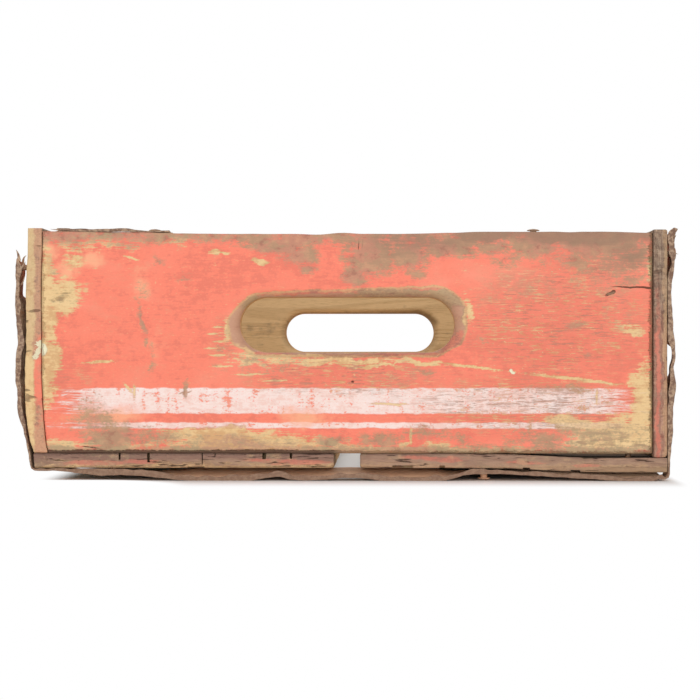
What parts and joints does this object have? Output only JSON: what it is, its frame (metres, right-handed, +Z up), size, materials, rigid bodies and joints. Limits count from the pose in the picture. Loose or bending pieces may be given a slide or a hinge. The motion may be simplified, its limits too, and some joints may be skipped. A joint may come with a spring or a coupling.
{
  "type": "wooden soda crate",
  "caption": "Shallow open wooden bottle crate with nailed boards, routed hand holes and rusted steel straps round both ends.",
  "frame": {"origin": "on the floor, under the middle of the crate", "axes": "+Y along the crate, from the end in the picture to the far end; +Z up; +X to the right as the picture sees it"},
  "size_m": [0.3121, 0.464, 0.1187],
  "materials": {
    "painted_end_wood": "faded red paint over a yellow base coat, worn and scratched",
    "painted_side_wood": "faded red paint over a yellow base coat outside, bare grey-brown inside",
    "bare_bottom_wood": "bare weathered softwood",
    "rusted_strap": "rusted thin steel strapping, matte",
    "board_nails": "rusted nails, driven flush",
    "strap_nails": "rusted nails, some worked loose"
  },
  "bodies": {
    "root": {"end_board_front": "painted_end_wood", "end_board_rear": "painted_end_wood", "side_board_left": "painted_side_wood", "side_board_right": "painted_side_wood", "bottom_board_left": "bare_bottom_wood", "bottom_board_right": "bare_bottom_wood", "strap_front": "rusted_strap", "strap_tab_front": "rusted_strap", "strap_rear": "rusted_strap", "side_nails_front_left": "board_nails", "side_nails_front_right": "board_nails", "side_nails_rear_left": "board_nails", "side_nails_rear_right": "board_nails", "bottom_nails_front": "board_nails", "bottom_nails_rear": "board_nails", "strap_nails_front_left": "strap_nails", "strap_nails_front_right": "strap_nails", "strap_nails_front_bottom": "strap_nails", "tab_nails_front_left": "strap_nails", "orphan_nail_front": "strap_nails", "strap_nails_rear_left": "strap_nails", "strap_nails_rear_right": "strap_nails", "strap_nails_rear_bottom": "strap_nails", "tab_nails_rear_left": "strap_nails", "tab_nails_rear_right": "strap_nails"}
  },
  "joints": []
}
